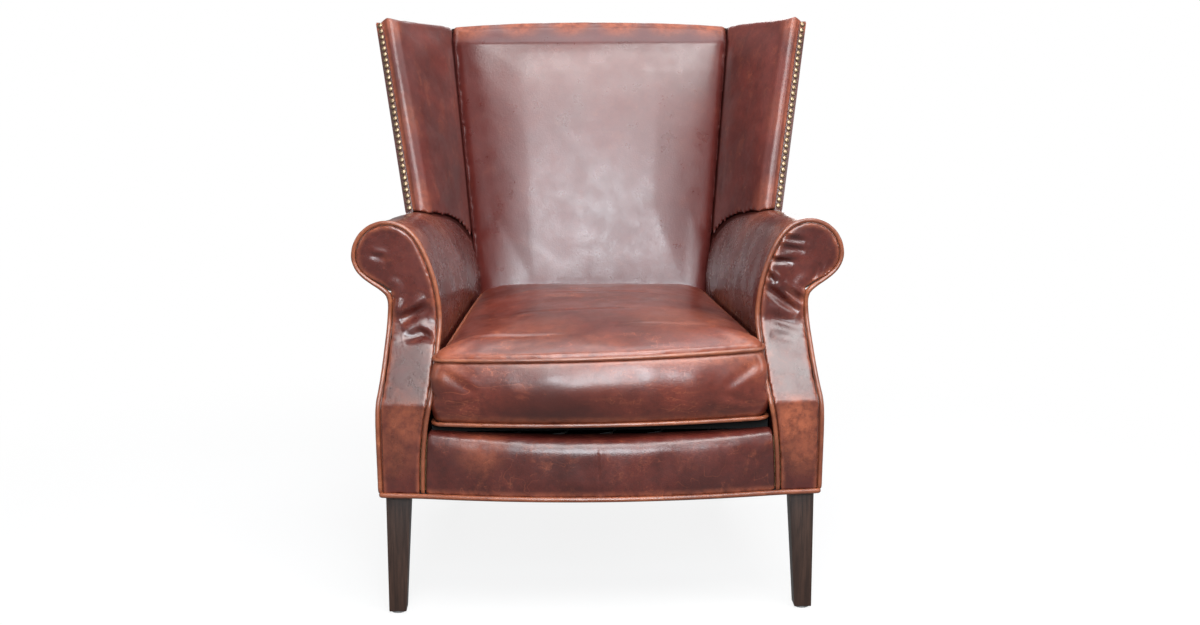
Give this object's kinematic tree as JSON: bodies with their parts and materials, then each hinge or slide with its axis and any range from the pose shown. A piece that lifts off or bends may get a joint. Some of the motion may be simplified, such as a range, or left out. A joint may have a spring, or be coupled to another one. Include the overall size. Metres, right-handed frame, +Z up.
{
  "type": "wing-back club chair",
  "caption": "Worn leather wing-back armchair with rolled scroll arms, nailed wings, a loose seat cushion and square tapered legs.",
  "frame": {"origin": "on the floor under the middle of the chair's bounding box", "axes": "+X to the right of someone who faces the chair, +Y from the seat's front towards the back, +Z up"},
  "size_m": [0.8332, 0.8484, 0.999],
  "materials": {
    "leather": "worn pull-up leather, dark red-brown, semi-gloss, rubbed tan at the edges",
    "piping": "the same leather rubbed lighter",
    "leg_wood": "dark stained hardwood, satin",
    "frame_wood": "bare hardwood, hidden",
    "steel": "plain steel",
    "brass": "antique brass, dulled",
    "dark_cloth": "matt woven cloth",
    "webbing": "woven webbing, hidden"
  },
  "bodies": {
    "root": {"front_rail": "frame_wood", "side_rail_left": "frame_wood", "side_rail_right": "frame_wood", "rear_rail": "frame_wood", "front_corner_block_left": "frame_wood", "front_corner_block_right": "frame_wood", "rear_corner_block_left": "frame_wood", "rear_corner_block_right": "frame_wood", "seat_spring_1": "steel", "seat_spring_2": "steel", "seat_spring_3": "steel", "seat_spring_4": "steel", "seat_spring_5": "steel", "seat_deck": "dark_cloth", "front_border": "leather", "dust_cover": "dark_cloth", "front_leg_left": "leg_wood", "front_leg_right": "leg_wood", "rear_leg_left": "leg_wood", "rear_leg_right": "leg_wood", "front_glide_left": "steel", "front_glide_right": "steel", "rear_glide_left": "steel", "rear_glide_right": "steel", "arm_facing_left": "leather", "arm_facing_right": "leather", "arm_facing_welt_left": "piping", "arm_facing_welt_right": "piping", "inside_arm_left": "leather", "inside_arm_right": "leather", "outside_arm_left": "leather", "outside_arm_right": "leather", "arm_post_left": "frame_wood", "arm_post_right": "frame_wood", "arm_board_left": "frame_wood", "arm_board_right": "frame_wood", "inside_back": "leather", "back_post_left": "frame_wood", "back_post_right": "frame_wood", "crest_rail": "frame_wood", "lower_back_rail": "frame_wood", "back_strap_1": "webbing", "back_strap_2": "webbing", "back_strap_3": "webbing", "outside_back": "leather", "inside_wing_left": "leather", "inside_wing_right": "leather", "outside_wing_left": "leather", "outside_wing_right": "leather", "wing_post_left": "frame_wood", "wing_post_right": "frame_wood", "wing_top_rail_left": "frame_wood", "wing_top_rail_right": "frame_wood", "nail_band_left": "brass", "nail_band_right": "brass", "seat_cushion": "leather", "cushion_top_welt": "piping", "cushion_bottom_welt": "piping", "bottom_welt": "piping"}
  },
  "joints": []
}
